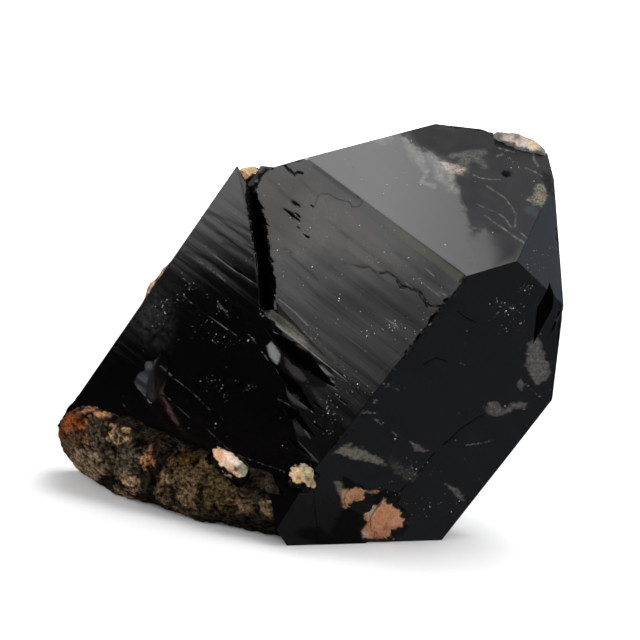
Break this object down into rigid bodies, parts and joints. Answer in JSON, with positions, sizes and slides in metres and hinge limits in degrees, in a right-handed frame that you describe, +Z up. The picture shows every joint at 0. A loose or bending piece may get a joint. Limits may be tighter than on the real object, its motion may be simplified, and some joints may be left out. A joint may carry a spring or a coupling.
{
  "type": "morion quartz point",
  "caption": "Black smoky quartz point with a smaller crystal grown onto its side, standing on a piece of feldspar rock",
  "frame": {"origin": "middle of the bounding box's bottom, on the plane of the flat cut under the piece", "axes": "+X to the right along the longest extent, +Y to the back, away from the side that shows the big front face, +Z up"},
  "size_m": [0.0909, 0.0597, 0.0765],
  "materials": {
    "morion_quartz": "glossy, almost black, opaque, with fine growth lines",
    "feldspar_rock": "rough, grainy, speckled brown, green and black",
    "feldspar": "dull, pink to orange and cream",
    "pale_crust": "dull, chalky"
  },
  "bodies": {
    "root": {"morion_crystals": "morion_quartz", "matrix_rock": "feldspar_rock", "pink_feldspar": "feldspar", "cream_feldspar": "feldspar", "orange_feldspar_left": "feldspar", "orange_feldspar_right": "feldspar", "notch_feldspar": "feldspar", "rim_feldspar": "feldspar", "crest_crust": "pale_crust"}
  },
  "joints": []
}
